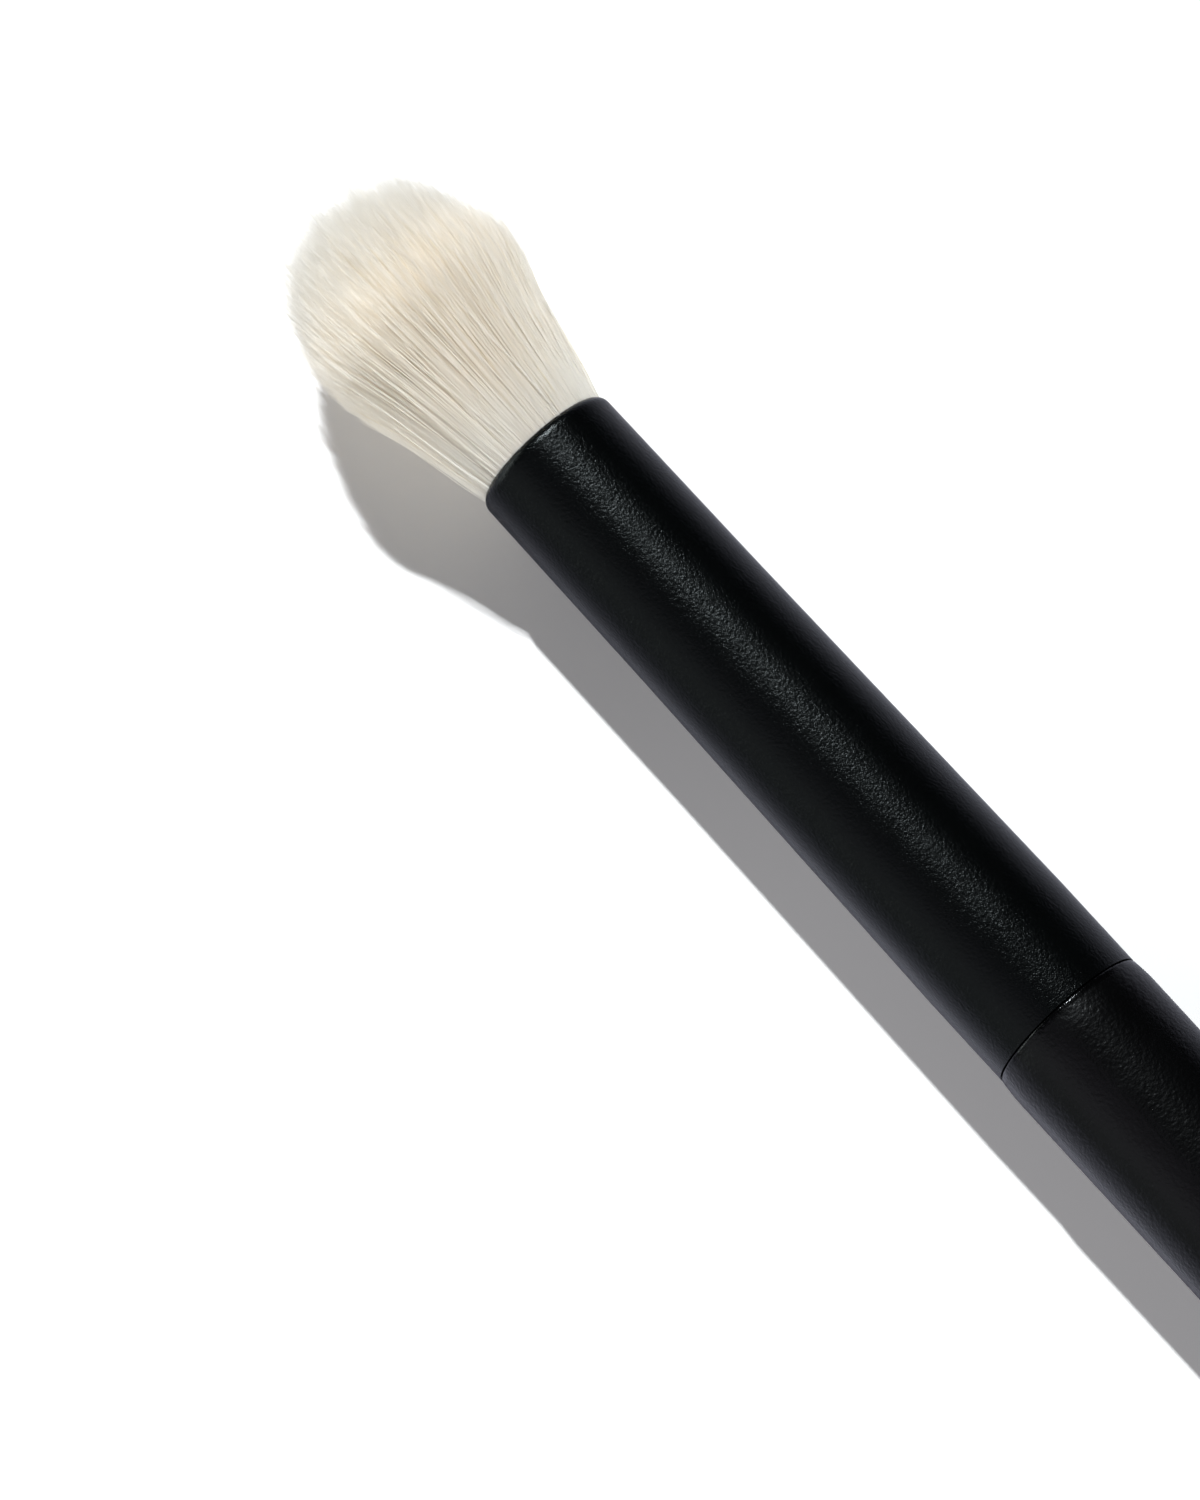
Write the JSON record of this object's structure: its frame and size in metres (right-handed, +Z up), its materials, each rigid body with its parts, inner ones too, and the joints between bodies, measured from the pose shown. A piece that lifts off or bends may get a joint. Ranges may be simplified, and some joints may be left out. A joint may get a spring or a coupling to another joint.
{
  "type": "eyeshadow brush",
  "caption": "Soft domed natural-hair eyeshadow brush with a slim tapered metal ferrule and a turned, tapering handle.",
  "frame": {"origin": "on the table plane under the tuft's flattened underside, at the middle of the brush's length", "axes": "+X along the brush's axis from the tuft towards the handle's butt end, +Z up, axis level"},
  "size_m": [0.17, 0.0138, 0.0134],
  "materials": {
    "hair": "soft ivory goat hair, satin sheen",
    "binding_thread": "waxed cotton thread",
    "resin": "cured epoxy, clear amber",
    "ferrule_black": "fine blasted, black anodised",
    "handle_black": "satin black lacquer"
  },
  "bodies": {
    "root": {"hair_tuft": "hair", "root_binding": "binding_thread", "root_plug": "resin", "ferrule": "ferrule_black", "tenon_glue": "resin", "handle": "handle_black"}
  },
  "joints": []
}
